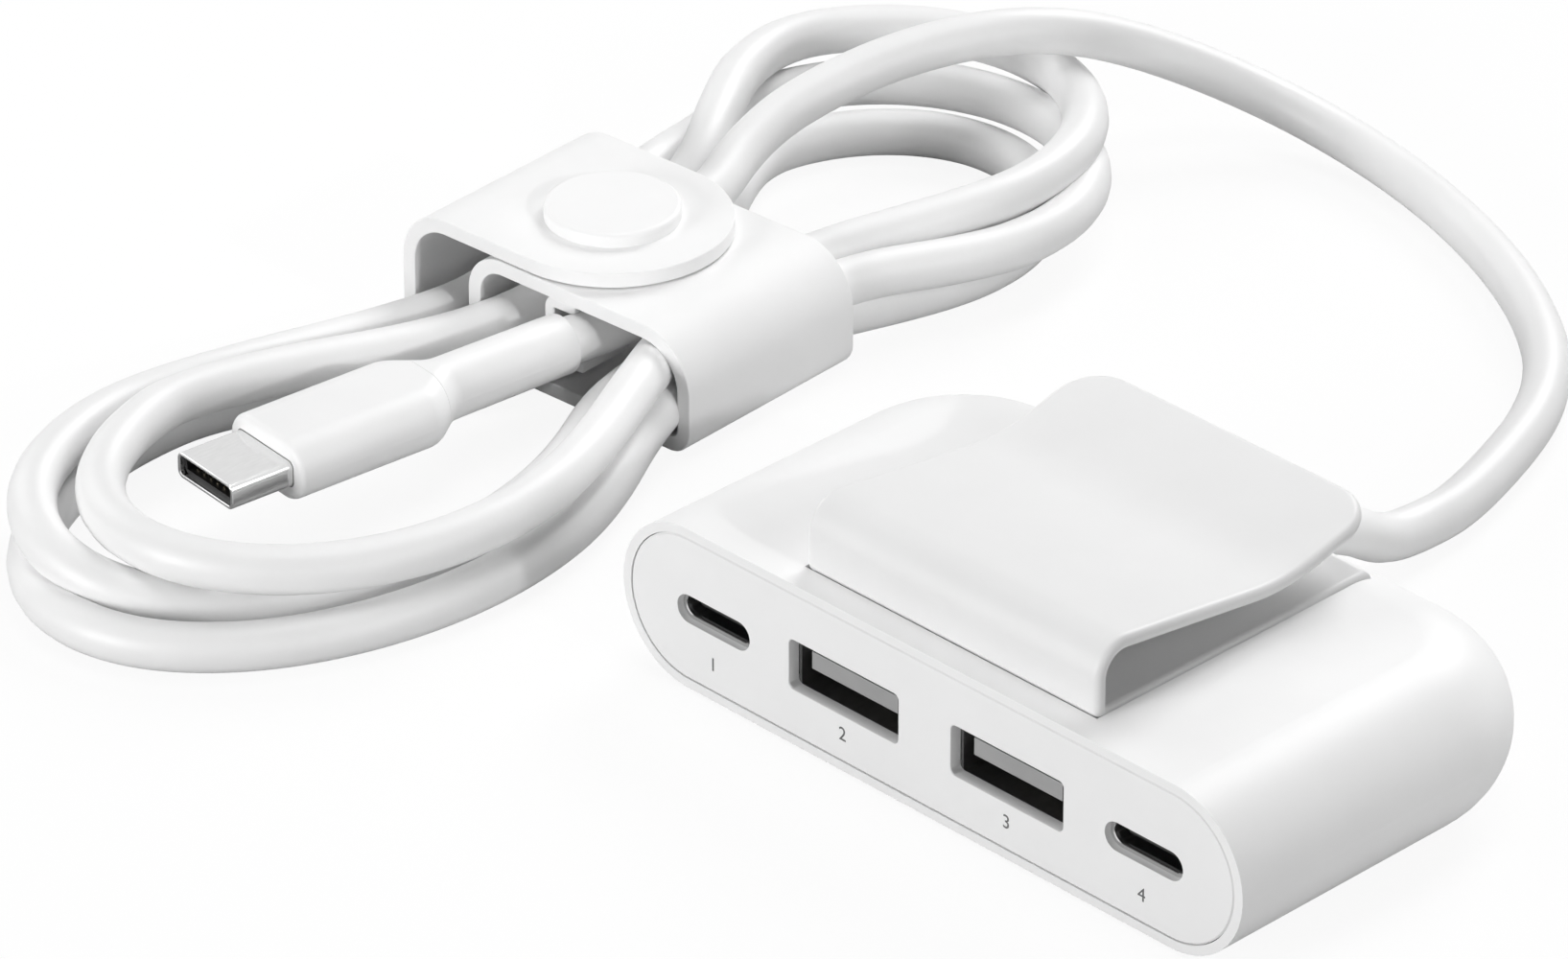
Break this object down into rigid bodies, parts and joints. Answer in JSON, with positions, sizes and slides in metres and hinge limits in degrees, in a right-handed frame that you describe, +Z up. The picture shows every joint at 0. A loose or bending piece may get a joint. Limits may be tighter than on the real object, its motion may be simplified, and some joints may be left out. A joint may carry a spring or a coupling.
{
  "type": "usb power strip",
  "caption": "Small rounded slab that charges devices from a row of ports in its front, with a spring clip on top and a strapped lead that ends in a plug.",
  "frame": {"origin": "on the floor under the middle of the slab", "axes": "+X along the strip to the right, -Y out of the ports, +Z up"},
  "size_m": [0.1376, 0.1492, 0.0227],
  "materials": {
    "white_shell": "fine matt moulded white",
    "white_panel": "smooth satin white",
    "white_clip": "fine matt moulded white",
    "white_jacket": "smooth soft white jacket",
    "white_strap": "soft matt white",
    "white_button": "satin white",
    "white_plug": "smooth matt white",
    "bright_steel": "bright plated",
    "socket_steel": "plain tinned steel",
    "black_insert": "matt black",
    "gilt_contact": "bright gilt",
    "green_board": "satin green lacquer",
    "black_chip": "matt black",
    "grey_ferrite": "matt dark grey",
    "can_metal": "bright can",
    "core_colour": "plain insulated cores"
  },
  "bodies": {
    "root": {"housing_shell": "white_shell", "front_panel": "white_panel", "spring_clip": "white_clip", "cord_lead": "white_jacket", "cord_hank": "white_jacket", "cord_gland": "white_jacket", "plug_strain_relief": "white_jacket", "cord_strap": "white_strap", "strap_button": "white_button", "plug_body": "white_plug", "plug_shell": "bright_steel", "usb_a_shell_left": "socket_steel", "usb_a_shell_right": "socket_steel", "usb_c_shell_left": "socket_steel", "usb_c_shell_right": "socket_steel", "usb_a_insert_left": "black_insert", "usb_a_insert_right": "black_insert", "usb_c_insert_left": "black_insert", "usb_c_insert_right": "black_insert", "plug_insert": "black_insert", "usb_a_contacts_left": "gilt_contact", "usb_a_contacts_right": "gilt_contact", "plug_contacts": "gilt_contact", "circuit_board": "green_board", "converter_chip_left": "black_chip", "converter_chip_right": "black_chip", "choke_left": "grey_ferrite", "choke_right": "grey_ferrite", "capacitors": "can_metal", "lead_cores": "core_colour"}
  },
  "joints": []
}
